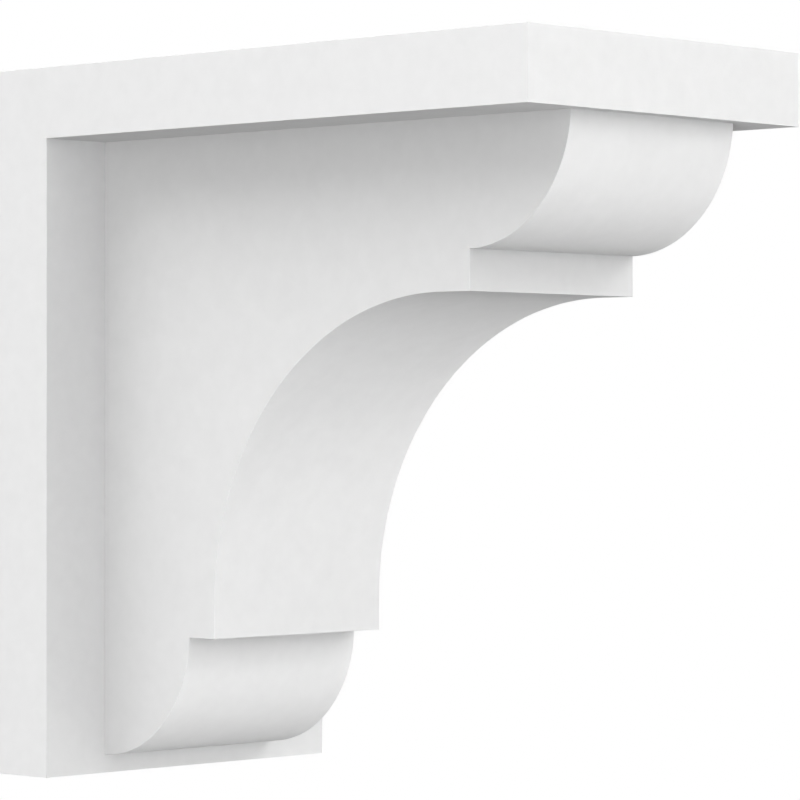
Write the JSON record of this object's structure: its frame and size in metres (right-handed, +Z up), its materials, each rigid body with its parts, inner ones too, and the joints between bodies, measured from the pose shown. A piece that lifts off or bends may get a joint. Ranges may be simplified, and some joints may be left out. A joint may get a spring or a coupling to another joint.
{
  "type": "architectural bracket",
  "caption": "Plain white wall bracket: a top board and a back board at a right angle, with a narrower body between them moulded with a crown, a large cove and a foot.",
  "frame": {"origin": "middle of the bracket's wall face, which lies flat on the wall", "axes": "+Y into the wall, so the bracket reaches out along -Y; +Z up; +X to the right for someone who faces the wall"},
  "size_m": [0.1412, 0.254, 0.254],
  "materials": {
    "white_board": "matte white, smooth",
    "white_body": "matte white, smooth"
  },
  "bodies": {
    "root": {"back_board": "white_board", "top_board": "white_board", "bracket_body": "white_body"}
  },
  "joints": []
}
